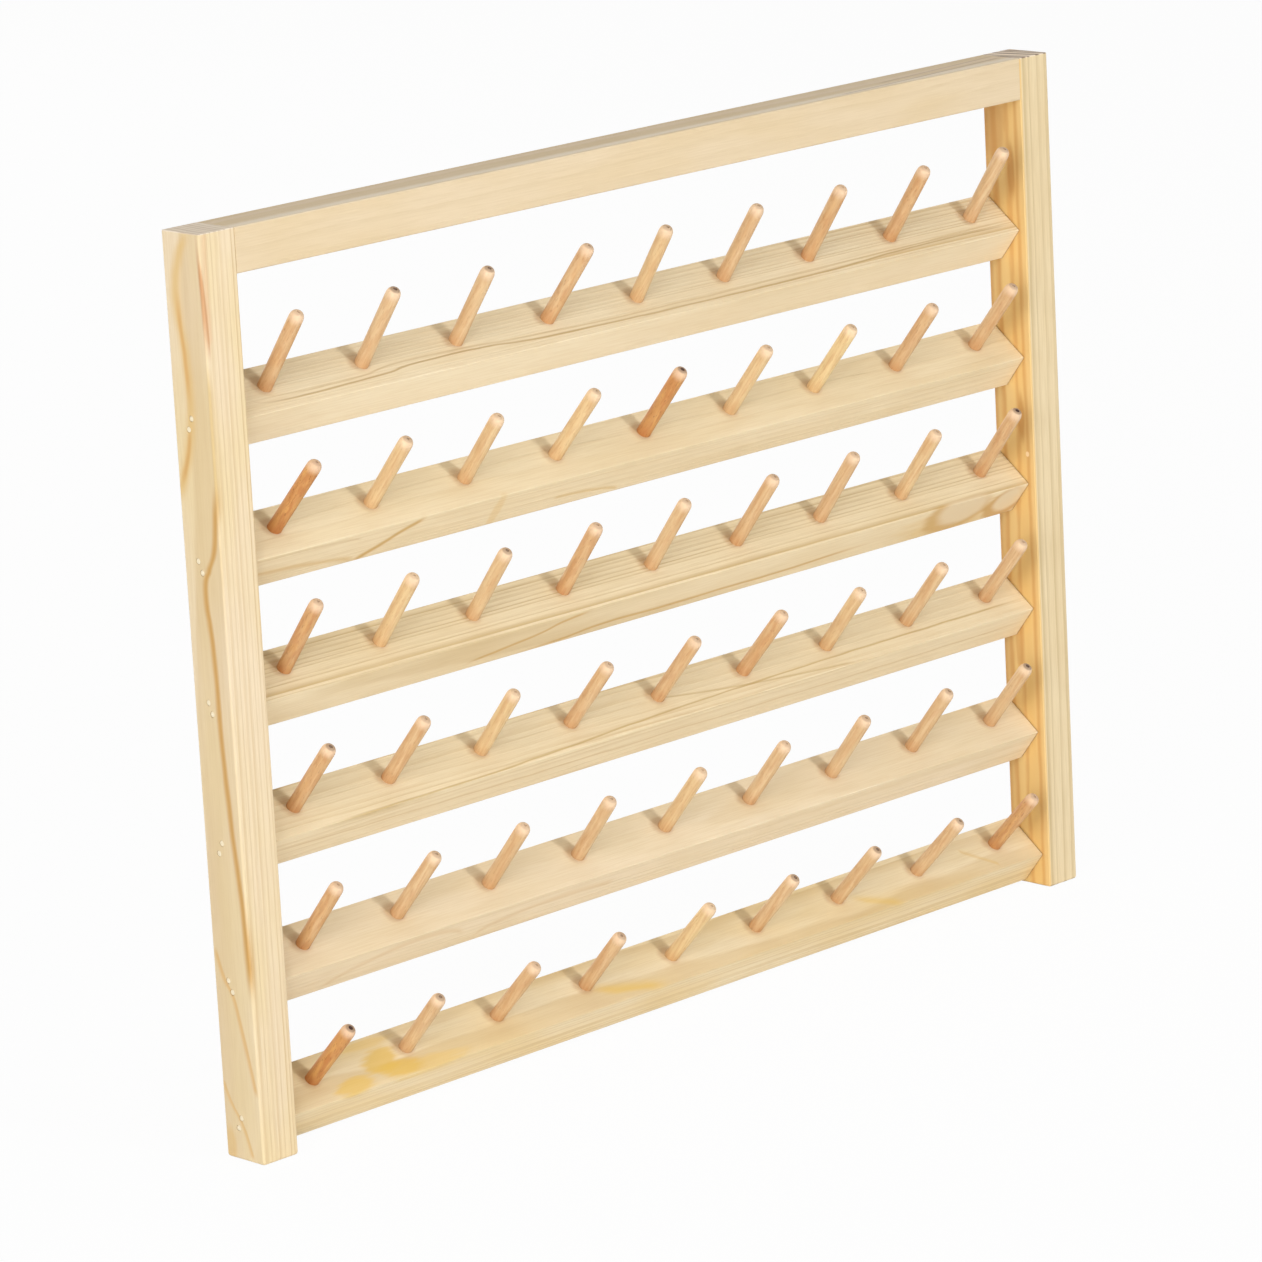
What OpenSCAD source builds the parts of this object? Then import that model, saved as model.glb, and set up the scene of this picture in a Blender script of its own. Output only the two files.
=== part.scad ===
// Wall rack for sewing thread: a pine frame with rows of leaned pegs that hold the spools.
// Millimetres, +Z up, +X to the right seen from the front, the wall is the plane y = 0.
// The origin is the mouth of the middle hanging hole in the back of the top rail.

/* [Frame] */
// Overall width across both posts
rack_w = 400; // [320:1:480]
// Overall height of the posts
rack_h = 307; // [270:1:400]
// Width of a post seen from the front
post_w = 15; // [13:0.5:22]
// Depth of the posts and the top rail, from the wall forward
frame_d = 18; // [17:0.5:26]
// Height of the top rail
top_rail_h = 15; // [13:0.5:24]
// Small flat planed on every long edge of the frame
edge_flat = 0.5; // [0.2:0.1:1]

/* [Peg rails] */
// Open height between the top rail and the back edge of the first peg rail
top_gap = 35; // [30:0.5:45]
// Breadth of a rail's leaned upper face
rail_w = 19.5; // [17:0.5:21]
// Thickness of a rail, square to its upper face
rail_t = 14.5; // [13:0.5:17]
// Lean of the upper face below the level, towards the front
rail_tilt = 38.5; // [32:0.5:42]
// Lowest edge of the bottom rail above the feet of the posts
foot_gap = 1; // [0.5:0.5:4]

/* [Pegs] */
// Pegs in each row
peg_count = 9; // [6:1:9]
// From the inner face of a post to the middle of the nearest peg
peg_end_gap = 17.4; // [16:0.1:24]
// Diameter of a peg
peg_d = 5; // [4:0.1:6.4]
// Length of a peg that stands out of its rail
peg_reach = 31; // [24:0.5:40]
// Depth of a peg in its rail
peg_seat = 6; // [4:0.5:6.5]
// Radial step of the shoulder where a peg's seat meets its shank
seat_step = 0.2; // [0.1:0.1:0.6]
// Space for glue under a peg
glue_depth = 0.5; // [0.2:0.1:0.9]
// Gap all round a peg's seat in its hole
peg_fit = 0.05; // [0.02:0.01:0.1]
// From the rail's back edge to the pegs' line, along the upper face
peg_setback = 9; // [8.5:0.1:10.5]
// Radius of the turned shoulder at a peg's tip
tip_round = 1.2; // [0.5:0.1:1.8]
// Diameter of the turning pit in a peg's tip
pit_d = 1.2; // [0.6:0.1:1.6]
// Depth of the turning pit
pit_depth = 0.7; // [0.3:0.1:1.5]
// Small cone at a peg's lower end
lead_in = 0.6; // [0.3:0.1:1.2]

/* [Hanging holes] */
// Number of holes in the back of the top rail
hang_count = 3; // [2:1:3]
// Distance from one hanging hole to the next
hang_pitch = 150; // [100:1:160]
// Diameter, to slip over a screw head
hang_d = 8.5; // [7:0.1:10]
// Depth of a hanging hole
hang_depth = 9; // [6:0.5:12]

/* [Nails] */
// Diameter of a nail
nail_d = 1.3; // [1:0.1:1.8]
// Length of a nail under its head
nail_len = 25; // [20:1:27]
// Diameter of a nail's head
nail_head_d = 2; // [1.9:0.1:2.8]
// Thickness of a nail's head
nail_head_h = 0.8; // [0.5:0.1:1.2]
// Depth of the filler over a nail's head
filler_h = 1.2; // [0.6:0.1:2]
// Distance between the two nails of a rail's end
nail_pair = 4; // [3.5:0.1:5.5]
// Lean of a pair from the upright, to the wall or away from it
nail_lean = 24; // [0:1:30]
// Spare depth of a nail's hole past its point
nail_spare = 0.5; // [0.2:0.1:1]
// Gap all round a nail and its filler
nail_fit = 0.05; // [0.02:0.01:0.1]

/* [Dowels] */
// Diameter of the dowels that hold the top rail
dowel_d = 5; // [4:0.1:5]
// Depth of a dowel in its post
dowel_post = 8; // [6:0.5:10]
// Depth of a dowel in the top rail
dowel_rail = 14; // [10:0.5:20]
// Distance between the two dowels of an end, front to back
dowel_pair = 8.5; // [8:0.1:10]
// Cone at each end of a dowel
dowel_lead = 0.7; // [0.3:0.1:1.2]
// Gap all round and at the ends of a dowel
dowel_fit = 0.05; // [0.02:0.01:0.1]

/* [Hidden] */

// One rail, one row of pegs and one set of nails is named above for each row.
row_count = 6;

$fn = 48;
pine = [0.93, 0.85, 0.68];
pine_leaned = [0.89, 0.8, 0.62];
peg_wood = [0.85, 0.65, 0.44];
filler_paste = [0.97, 0.92, 0.8];
nail_steel = [0.62, 0.63, 0.65];
dowel_wood = [0.8, 0.64, 0.45];

// Frame
inner_x = rack_w / 2 - post_w;
top_z = top_rail_h / 2;
foot_z = top_z - rack_h;
span = 2 * inner_x;

// A rail's section: its back-top edge lies on the wall plane, and the corner behind is planed off there.
lean_cos = cos(rail_tilt);
lean_sin = sin(rail_tilt);
back_top = [0, rail_w * lean_sin + rail_t * lean_cos];
front_edge = [-rail_w * lean_cos, rail_t * lean_cos];
low_edge = [front_edge[0] + rail_t * lean_sin, 0];
back_low = [0, -low_edge[0] * tan(rail_tilt)];

// The pegs' foot on the upper face, and the middle of a rail's end, where it is nailed
peg_foot = [-peg_setback * lean_cos, back_top[1] - peg_setback * lean_sin];
nail_mid = [low_edge[0] - nail_d, (back_top[1] + low_edge[1]) / 2];
first_peg_x = peg_end_gap - inner_x;
peg_pitch = -2 * first_peg_x / (peg_count - 1);
seat_d = peg_d - 2 * seat_step;
nail_head_x = rack_w / 2 - filler_h;

// Lowest edges of the first and the last rail, and the even step between rails
first_rail_z = -top_z - top_gap - back_top[1];
last_rail_z = foot_z + foot_gap;
row_pitch = (first_rail_z - last_rail_z) / (row_count - 1);

function rail_z(row) = first_rail_z - (row - 1) * row_pitch;

// The upper nail of a rail's end is nearer the wall on the rails marked 1, nearer the front on the others.
nail_sides = [-1, 1, 1, -1, 1, -1];
function nail_at(row, k) = [
    nail_mid[0] + nail_sides[row - 1] * (k - 0.5) * nail_pair * sin(nail_lean),
    rail_z(row) + nail_mid[1] + (k - 0.5) * nail_pair * cos(nail_lean)
];

// A corner of a section cut by the small flat: the two points that replace it
function cut_corner(before, corner, after, size) =
    let (u = (before - corner) / norm(before - corner), v = (after - corner) / norm(after - corner))
    [corner + u * size, corner + v * size];

function eased(points, size) =
    let (n = len(points))
    [for (i = [0 : n - 1]) each cut_corner(points[(i + n - 1) % n], points[i], points[(i + 1) % n], size)];

// Length of section along +X, centred, from its outline in the plane of depth and height
module along_x(length, outline)
    translate([-length / 2, 0, 0]) rotate([90, 0, 90]) linear_extrude(length) polygon(outline);

// A round pin or drill that starts on the plane x = 0 and runs towards +X
module x_rod(diameter, length)
    rotate([0, 90, 0]) cylinder(d = diameter, h = length);

// Places its child at each of a post's nail heads, with +X towards the middle of the rack
module at_nails(side, row)
    for (k = [0, 1])
        translate([side * nail_head_x, nail_at(row, k)[0], nail_at(row, k)[1]])
            mirror([side > 0 ? 1 : 0, 0, 0]) children();

module at_dowels(side)
    for (k = [-0.5, 0.5])
        translate([side * inner_x, -frame_d / 2 + k * dowel_pair, 0])
            mirror([side > 0 ? 0 : 1, 0, 0]) children();

// Filler pocket, head recess and shank hole of a nail, cut through a post into a rail's end
module nail_drill() {
    translate([-filler_h, 0, 0]) x_rod(nail_head_d + 2 * nail_fit, filler_h + nail_head_h);
    x_rod(nail_d + 2 * nail_fit, nail_head_h + nail_len + nail_spare);
}

module dowel_drill()
    translate([-dowel_rail - dowel_fit, 0, 0])
        x_rod(dowel_d + 2 * dowel_fit, dowel_rail + dowel_post + 2 * dowel_fit);

// A rectangle of depth and height with its corners cut by the small flat
module post(side) {
    color(pine) difference() {
        translate([side * (rack_w - post_w) / 2, -frame_d / 2, foot_z]) linear_extrude(rack_h)
            polygon(eased([
                [-post_w / 2, -frame_d / 2], [post_w / 2, -frame_d / 2],
                [post_w / 2, frame_d / 2], [-post_w / 2, frame_d / 2]
            ], edge_flat));
        for (row = [1 : row_count]) at_nails(side, row) nail_drill();
        at_dowels(side) dowel_drill();
    }
}

module left_post() post(-1);

module right_post() post(1);

module hang_drill()
    rotate([90, 0, 0]) cylinder(d = hang_d, h = hang_depth);

module top_rail() {
    color(pine) difference() {
        along_x(span, eased([
            [-frame_d, -top_z], [0, -top_z], [0, top_z], [-frame_d, top_z]
        ], edge_flat));
        for (i = [0 : hang_count - 1])
            translate([(i - (hang_count - 1) / 2) * hang_pitch, 0, 0]) hang_drill();
        for (side = [-1, 1]) at_dowels(side) dowel_drill();
    }
}

// Places its children at each peg's foot of a row, with +Z out along the peg
module at_pegs(row)
    for (i = [0 : peg_count - 1])
        translate([first_peg_x + i * peg_pitch, peg_foot[0], rail_z(row) + peg_foot[1]])
            rotate([rail_tilt, 0, 0]) children();

module peg_rail(row) {
    color(pine_leaned) difference() {
        translate([0, 0, rail_z(row)])
            along_x(span, eased([back_top, front_edge, low_edge, back_low], edge_flat));
        at_pegs(row) translate([0, 0, -peg_seat - glue_depth])
            cylinder(d = seat_d + 2 * peg_fit, h = peg_seat + glue_depth + rail_t);
        for (side = [-1, 1]) at_nails(side, row) nail_drill();
    }
}

// Half outline of a turned peg: lead-in cone, seat, shoulder, shank, rounded tip and turning pit
function peg_outline() = concat(
    [[0, -peg_seat], [seat_d / 2 - lead_in, -peg_seat], [seat_d / 2, lead_in - peg_seat]],
    [[seat_d / 2, 0], [peg_d / 2, 0]],
    [for (a = [0 : 15 : 90])
        [peg_d / 2 - tip_round + tip_round * cos(a), peg_reach - tip_round + tip_round * sin(a)]],
    [[pit_d / 2, peg_reach], [0, peg_reach - pit_depth]]
);

module peg()
    rotate_extrude() polygon(peg_outline());

module pegs(row)
    color(peg_wood) at_pegs(row) peg();

// A headed pin nail with its point
module nail() {
    x_rod(nail_head_d, nail_head_h);
    x_rod(nail_d, nail_head_h + nail_len - nail_d);
    translate([nail_head_h + nail_len - nail_d, 0, 0])
        rotate([0, 90, 0]) cylinder(d1 = nail_d, d2 = 0, h = nail_d);
}

module rail_nails(row)
    color(nail_steel) for (side = [-1, 1]) at_nails(side, row) nail();

module nail_fillers(side)
    color(filler_paste) for (row = [1 : row_count])
        at_nails(side, row) translate([-filler_h, 0, 0]) x_rod(nail_head_d, filler_h);

// A dowel along +X with a cone at each end
module dowel(diameter, length, lead)
    rotate([0, 90, 0]) rotate_extrude() polygon([
        [0, 0], [diameter / 2 - lead, 0], [diameter / 2, lead],
        [diameter / 2, length - lead], [diameter / 2 - lead, length], [0, length]
    ]);

module top_rail_dowels(side)
    color(dowel_wood) at_dowels(side)
        translate([-dowel_rail, 0, 0]) dowel(dowel_d, dowel_rail + dowel_post, dowel_lead);

left_post();
right_post();
top_rail();
peg_rail(1);  // peg_rail_1
peg_rail(2);  // peg_rail_2
peg_rail(3);  // peg_rail_3
peg_rail(4);  // peg_rail_4
peg_rail(5);  // peg_rail_5
peg_rail(6);  // peg_rail_6
pegs(1);  // pegs_row_1
pegs(2);  // pegs_row_2
pegs(3);  // pegs_row_3
pegs(4);  // pegs_row_4
pegs(5);  // pegs_row_5
pegs(6);  // pegs_row_6
rail_nails(1);  // rail_nails_1
rail_nails(2);  // rail_nails_2
rail_nails(3);  // rail_nails_3
rail_nails(4);  // rail_nails_4
rail_nails(5);  // rail_nails_5
rail_nails(6);  // rail_nails_6
nail_fillers(-1);  // nail_fillers_left
nail_fillers(1);  // nail_fillers_right
top_rail_dowels(-1);  // top_rail_dowels_left
top_rail_dowels(1);  // top_rail_dowels_right
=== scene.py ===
import bmesh
import bpy
import math
import random
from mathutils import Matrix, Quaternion, Vector


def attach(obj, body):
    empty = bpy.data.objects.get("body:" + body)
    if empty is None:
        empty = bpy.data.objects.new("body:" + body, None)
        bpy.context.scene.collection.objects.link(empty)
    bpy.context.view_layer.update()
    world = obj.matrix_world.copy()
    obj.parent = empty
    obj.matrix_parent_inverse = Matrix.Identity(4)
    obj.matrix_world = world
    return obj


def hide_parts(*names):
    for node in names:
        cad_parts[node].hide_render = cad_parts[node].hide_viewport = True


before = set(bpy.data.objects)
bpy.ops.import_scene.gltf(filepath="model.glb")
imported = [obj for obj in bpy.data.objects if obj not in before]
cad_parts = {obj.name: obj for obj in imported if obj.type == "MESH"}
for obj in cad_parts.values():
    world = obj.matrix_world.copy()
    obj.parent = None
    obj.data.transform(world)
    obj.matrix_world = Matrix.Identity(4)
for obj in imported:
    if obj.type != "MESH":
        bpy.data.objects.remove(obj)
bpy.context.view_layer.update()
draws = random.Random(54)
mm = 0.001
print("frame loaded,", len(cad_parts), "nodes")

# Sizes that the pieces share, in mm, as in the part's source. The wall is y = 0 and the front looks along -y.
frameSize = {"half": 200, "inner": 185, "top": 7.5, "foot": -299.5, "depth": 18}
railSize = {"rows": 6, "first": -65.987, "step": 46.5026, "width": 19.5, "thick": 14.5, "tilt": math.radians(38.5)}
rows = range(1, railSize["rows"] + 1)
# Up a rail's face, from its front edge to its back edge, and out of that face, the way the pegs point
upSlope = Vector((0, math.cos(railSize["tilt"]), math.sin(railSize["tilt"])))
outSlope = Vector((0, -upSlope.z, upSlope.y))
# Two nails at each end of a rail: how far behind its middle, how far apart, and the lean of the pair in each row
nails = {"behind": 1.3, "apart": 4, "lean": math.radians(24), "sides": (-1, 1, 1, -1, 1, -1)}


def frontEdge(row):
    lowest = railSize["first"] - (row - 1) * railSize["step"]
    return Vector((0, -railSize["width"] * upSlope.y, lowest + railSize["thick"] * upSlope.y))


def nailPlaces(row):
    lowest = frontEdge(row).z - railSize["thick"] * upSlope.y
    middleY = -railSize["width"] * upSlope.y + railSize["thick"] * upSlope.z - nails["behind"]
    middleZ = lowest + (railSize["width"] * upSlope.z + railSize["thick"] * upSlope.y) / 2
    halfY = nails["sides"][row - 1] * nails["apart"] / 2 * math.sin(nails["lean"])
    halfZ = nails["apart"] / 2 * math.cos(nails["lean"])
    return [(middleY + end * halfY, middleZ + end * halfZ) for end in (-1, 1)]


# From the 0 to 255 of a picture to the light that it stands for
def linear(colour):
    parts = [c / 255 for c in colour]
    return [p / 12.92 if p <= 0.04045 else ((p + 0.055) / 1.055) ** 2.4 for p in parts] + [1.0]


# Shader maths: a wire is a socket that adds, multiplies and divides like a number.
class Wire:
    def __init__(self, tree, socket=None):
        self.tree, self.socket = tree, socket

    def node(self, kind, settings=None, sockets=None, out=0):
        made = self.tree.nodes.new(kind)
        for key, value in (settings or {}).items():
            if key == "curve":
                line = made.mapping.curves[0]
                line.points[0].location, line.points[1].location = value[0], value[-1]
                for point in value[1:-1]:
                    line.points.new(*point)
                made.mapping.update()
            else:
                setattr(made, key, value)
        for key, value in (sockets or {}).items():
            if isinstance(value, Wire):
                self.tree.links.new(value.socket, made.inputs[key])
            else:
                made.inputs[key].default_value = value
        if isinstance(out, tuple):
            return [Wire(self.tree, made.outputs[each]) for each in out]
        return None if out is None else Wire(self.tree, made.outputs[out])

    def maths(self, operation, *values):
        return self.node("ShaderNodeMath", {"operation": operation}, dict(enumerate(values)))

    def __add__(self, other):
        return self.maths("ADD", self, other)

    def __sub__(self, other):
        return self.maths("SUBTRACT", self, other)

    def __rsub__(self, other):
        return self.maths("SUBTRACT", other, self)

    def __mul__(self, other):
        return self.maths("MULTIPLY", self, other)

    def __truediv__(self, other):
        return self.maths("DIVIDE", self, other)

    __radd__ = __add__

    def rise(self, low, high):
        return self.node("ShaderNodeMapRange", {"interpolation_type": "SMOOTHSTEP"},
                         {"Value": self, "From Min": low, "From Max": high})

    def heldAbove(self, least):
        return self * (1 - least) + least

    def moved(self, operation, other):
        return self.node("ShaderNodeVectorMath", {"operation": operation}, {0: self, 1: other})

    # The size says how far a blot reaches along each axis.
    def noise(self, size, detail=2.0, out=0):
        stretched = self.moved("DIVIDE", [s * mm for s in size])
        return self.node("ShaderNodeTexNoise", {}, {"Vector": stretched, "Scale": 1.0, "Detail": detail}, out)

    def between(self, first, second):
        first, second = [c if isinstance(c, Wire) else linear(c) for c in (first, second)]
        return self.node("ShaderNodeMix", {"data_type": "RGBA"}, {0: self, 6: first, 7: second}, 2)


def blankFinish(name):
    material = bpy.data.materials.new(name)
    material.use_nodes = True
    material.node_tree.nodes.clear()
    return material, Wire(material.node_tree)


def surface(wire, sockets):
    shader = wire.node("ShaderNodeBsdfPrincipled", {}, sockets)
    wire.node("ShaderNodeOutputMaterial", {}, {"Surface": shader}, None)


def relief(wire, height, depth):
    return wire.node("ShaderNodeBump", {}, {"Strength": 1.0, "Distance": depth * mm, "Height": height})


# What a mark has where it names nothing else: a ragged edge, faded ends, a little overrun and a full core
usualMark = {"wander": 0.6, "fade": 0.06, "beyond": 0.02, "core": 0.45, "leastReach": 0.001}


# One mark in a piece of timber: a streak along a path, or a spot. The gate keeps it near the face that it lies on.
def markMask(mark, along, across, deep, blots):
    mark = {**usualMark, **mark}
    side, gate = (across, deep) if mark["face"] == "across" else (deep, across)
    wander = (blots - 0.5) * mark["wander"]
    if "path" in mark:
        path, fade, beyond = mark["path"], mark["fade"], mark["beyond"]
        sides = [b for a, b in path]
        low, high, least = path[0][0], path[-1][0], min(sides)
        reach = max(max(sides) - least, mark["leastReach"])
        share = (along / mm - low) / (high - low)
        points = [((a - low) / (high - low), (b - least) / reach) for a, b in path]
        line = share.node("ShaderNodeFloatCurve", {"curve": points}, {"Factor": 1.0, "Value": share})
        off = side / mm - (line * reach + least) + wander
        before, after = mark["width"]
        mask = off.rise(-before, 0) * off.rise(after, 0)
        mask = mask * share.rise(-beyond, fade) * share.rise(1 + beyond, 1 - fade)
    else:
        (a, b), (reachA, reachB) = mark["spot"], mark["reach"]
        offA, offB = (along / mm - a) / reachA, (side / mm - b) / reachB
        squared = offA * offA + offB * offB
        mask = (squared.maths("SQRT", squared) + wander).rise(1.0, mark["core"])
    return mask * (gate / mm).rise(*mark["gate"]) * mark["strength"]


# Painted shadow of each peg on its rail's upper face: soft brown, a little above and to the left of its foot, where
# the key light's shadow falls
pegShadowPaint = {"off": 0.9, "ragged": 2.0, "reach": (5.2, 2.3), "gate": (-1.2, -0.4), "strength": 0.45,
          "colour": (178, 130, 74)}


# The half step puts each peg in the middle of its own step, and the whole ones keep the remainder above zero.
def paintedPegShadow(colour, look, along, across, deep, blots):
    first, step, up = look["pegShadow"]
    beside = along.maths("MODULO", along / mm - first + step * (4 + 0.5), step) - step / 2
    beside, above = beside + pegShadowPaint["off"], across / mm - up - pegShadowPaint["off"]
    near = beside.maths("SQRT", beside * beside + above * above) + (blots - 0.5) * pegShadowPaint["ragged"]
    mask = near.rise(*pegShadowPaint["reach"]) * (deep / mm).rise(*pegShadowPaint["gate"]) * pegShadowPaint["strength"]
    return mask.between(colour, pegShadowPaint["colour"])


# The grain of pine: how far its noises reach in mm, and where in a ring the dark late wood begins and ends
grain = {
    "seedShares": (1, 0.37, 0.71), "driftDeep": 0.6, "sway": (90, 22, 22), "patches": (70, 6, 6),
    "fibre": (14, 0.45, 0.45), "clouds": (55, 14, 14), "blots": (16, 3, 3), "ringNoise": 0.45, "ringUneven": 1.6,
    "late": (0.35, 0.88), "lateEdge": (1.0, 0.92), "faintest": 0.3, "patchy": (0.25, 0.7), "leastPatch": 0.5,
    "cloudy": (0.3, 0.7), "fibrous": (0.35, 0.75), "fibreShade": 0.22,
    "endLateAndShade": (0.3, 0.6), "endEdge": (1.0, 0.85), "endSkin": (0.5, 0.1),
    "rough": 0.6, "fibreRough": 0.12, "lateSmooth": 0.08, "lateRaised": 0.5, "fibreRaised": 0.6, "relief": 0.12,
    "shine": 0.35,
}


# Pine with true growth rings: cylinders about a far pith, so each face shows the grain that its cut gives it.
def pineFinish(name, look):
    material, wire = blankFinish(name)
    local = wire.node("ShaderNodeMapping", {"vector_type": "TEXTURE"}, {
        "Vector": wire.node("ShaderNodeTexCoord", out="Object"),
        "Location": [m * mm for m in look["middle"]], "Rotation": look["turn"]})
    along, across, deep = local.node("ShaderNodeSeparateXYZ", {}, {0: local}, (0, 1, 2))
    loose = local.moved("ADD", [look["seed"] * share for share in grain["seedShares"]])
    sway = loose.noise(grain["sway"], 2.0, 1).moved("SUBTRACT", (0.5, 0.5, 0.5)).moved(
        "MULTIPLY", [0, look["sway"] * mm, look["sway"] * mm])
    drift = along * look["drift"]
    drift = along.node("ShaderNodeCombineXYZ", {}, {"Y": drift, "Z": drift * grain["driftDeep"]})
    pith = Vector((0, look["pith"][0] * mm, look["pith"][1] * mm))
    flat = local.moved("MULTIPLY", (0, 1, 1)).moved("ADD", sway).moved("ADD", drift).moved("SUBTRACT", pith)
    radius = flat.node("ShaderNodeVectorMath", {"operation": "LENGTH"}, {0: flat}, 1)
    rings = radius / (look["ring"] * mm)
    low, high, least = look.get("swell", (0, 1, 1))
    lines = (along / mm).rise(low, high).heldAbove(least) * look["lines"]
    uneven = radius.node("ShaderNodeTexNoise", {"noise_dimensions": "1D"}, {"W": rings, "Scale": grain["ringNoise"]})
    rings = rings + uneven * grain["ringUneven"]
    phase = rings.maths("FRACT", rings)
    heavy = rings.node("ShaderNodeTexWhiteNoise", {"noise_dimensions": "1D"}, {"W": rings.maths("FLOOR", rings)})
    late = phase.rise(*grain["late"]) * phase.rise(*grain["lateEdge"])
    patches = loose.noise(grain["patches"], 1.0).rise(*grain["patchy"])
    faint = heavy.heldAbove(grain["faintest"]) * patches.heldAbove(grain["leastPatch"])
    fibre = loose.noise(grain["fibre"], 3.0)
    colour = loose.noise(grain["clouds"]).rise(*grain["cloudy"]).between(look["pale"], look["cream"])
    colour = (late * faint * lines).between(colour, look["late"])
    colour = (fibre.rise(*grain["fibrous"]) * grain["fibreShade"]).between(colour, look["late"])
    blots = loose.noise(grain["blots"])
    for mark in look["marks"]:
        colour = markMask(mark, along, across, deep, blots).between(colour, mark["colour"])
    # Painted peg shadows on the rail's upper face
    if "pegShadow" in look:
        colour = paintedPegShadow(colour, look, along, across, deep, blots)
    # The last half mm of each end takes the end colours: end grain on the posts and top rail, painted shade at the
    # joints on the peg rails
    endRing = phase.rise(*grain["endLateAndShade"]) * phase.rise(*grain["endEdge"]) * look["endLines"]
    endsAndShade = along.maths("ABSOLUTE", along / mm).rise(*[look["half"] - skin for skin in grain["endSkin"]])
    colour = endsAndShade.between(colour, endRing.between(look["endGrainAndShade"], look["endLateAndShade"]))
    raised = late * grain["lateRaised"] + fibre * grain["fibreRaised"]
    surface(wire, {"Base Color": colour, "Normal": relief(wire, raised, grain["relief"]),
                   "Roughness": grain["rough"] + fibre * grain["fibreRough"] - late * grain["lateSmooth"],
                   "Specular IOR Level": grain["shine"]})
    return material


def finished(piece, material, node):
    piece.data.materials.clear()
    piece.data.materials.append(material)
    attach(piece, "root")
    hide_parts(node)


# Modelling by hand, in code: everything else is deselected first.
def alone(piece):
    bpy.ops.object.select_all(action="DESELECT")
    piece.select_set(True)
    bpy.context.view_layer.objects.active = piece


def started(name, add, **settings):
    bpy.ops.object.select_all(action="DESELECT")
    add(**settings)
    piece = bpy.context.active_object
    piece.name = piece.data.name = name
    return piece


def copied(piece):
    alone(piece)
    bpy.ops.object.duplicate(linked=False)
    return bpy.context.active_object


def settled(piece):
    alone(piece)
    bpy.ops.object.transform_apply(location=True, rotation=True, scale=True)


def joined(pieces, name):
    alone(pieces[0])
    for piece in pieces:
        piece.select_set(True)
    bpy.ops.object.join()
    whole = bpy.context.active_object
    whole.name = whole.data.name = name
    return whole


def applied(piece, kind, **settings):
    modifier = piece.modifiers.new(kind.lower(), kind)
    for key, value in settings.items():
        setattr(modifier, key, value)
    alone(piece)
    bpy.ops.object.modifier_apply(modifier=modifier.name)


def editing(piece, test, kind):
    alone(piece)
    bpy.ops.object.mode_set(mode="EDIT")
    bpy.ops.mesh.select_mode(type=kind)
    bpy.ops.mesh.select_all(action="DESELECT")
    mesh = bmesh.from_edit_mesh(piece.data)
    for part in mesh.faces if kind == "FACE" else mesh.verts:
        part.select = test([part.co / mm] if kind == "VERT" else [v.co / mm for v in part.verts])
    mesh.select_flush_mode()
    bmesh.update_edit_mesh(piece.data)


# Edges rounded all at once, each by its own size, so that the roundings meet cleanly at the corners.
def eased(piece, sizeOf):
    points = [vertex.co / mm for vertex in piece.data.vertices]
    sizes = [sizeOf(*[points[end] for end in edge.vertices]) for edge in piece.data.edges]
    weights = piece.data.attributes.new("bevel_weight_edge", "FLOAT", "EDGE")
    for weight, size in zip(weights.data, sizes):
        weight.value = size / max(sizes)
    applied(piece, "BEVEL", width=max(sizes) * mm, segments=3, limit_method="WEIGHT")


def drilled(piece, holes, sides=24, outside=1):
    cutters = []
    for mouth, inwards, radius, depth in holes:
        inwards = Vector(inwards).normalized()
        middle = Vector(mouth) + inwards * (depth - outside) / 2
        cutters.append(started("drill", bpy.ops.mesh.primitive_cylinder_add, vertices=sides, radius=radius * mm,
                               depth=(depth + outside) * mm, location=middle * mm,
                               rotation=inwards.to_track_quat("Z", "Y").to_euler()))
    cutter = joined(cutters, "drills")
    settled(cutter)
    applied(piece, "BOOLEAN", operation="DIFFERENCE", solver="EXACT", use_self=True, object=cutter)
    bpy.data.objects.remove(cutter)


def smoothed(piece, degrees):
    alone(piece)
    bpy.ops.object.shade_smooth_by_angle(angle=math.radians(degrees))


def sawn(name, middle, size, tilt=0.0):
    piece = started(name, bpy.ops.mesh.primitive_cube_add, size=1, location=middle * mm, rotation=(tilt, 0, 0),
                    scale=[s * mm for s in size])
    settled(piece)
    return piece


# Timber keeps its flat look up to its rounded edges.
def planed(piece, degrees=40):
    smoothed(piece, degrees)
    applied(piece, "WEIGHTED_NORMAL", keep_sharp=True)


# A round piece as a lathe makes it: a disc extruded up its outline of radii and heights.
def turnedUp(name, outline, sides):
    radius, height = outline[0]
    piece = started(name, bpy.ops.mesh.primitive_circle_add, vertices=sides, fill_type="NGON", radius=radius * mm,
                    location=(0, 0, height * mm))
    settled(piece)
    editing(piece, lambda c: True, "FACE")
    for (radius, height), (nextRadius, nextHeight) in zip(outline, outline[1:]):
        share = nextRadius / radius
        bpy.ops.mesh.extrude_region_move(TRANSFORM_OT_translate={"value": (0, 0, (nextHeight - height) * mm)})
        bpy.ops.transform.resize(value=(share, share, 1), center_override=(0, 0, nextHeight * mm))
    bpy.ops.mesh.select_all(action="SELECT")
    bpy.ops.mesh.normals_make_consistent(inside=False)
    bpy.ops.object.mode_set(mode="OBJECT")
    return piece


# Whether two corners differ along one axis only, so that the edge between them runs along it
def sameBut(axis, first, second, near=0.01):
    return all(abs(first[k] - second[k]) < near for k in range(3) if k != axis)


def marksOn(face, gate, marks):
    return [{"face": face, "gate": gate, **mark} for mark in marks]


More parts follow.
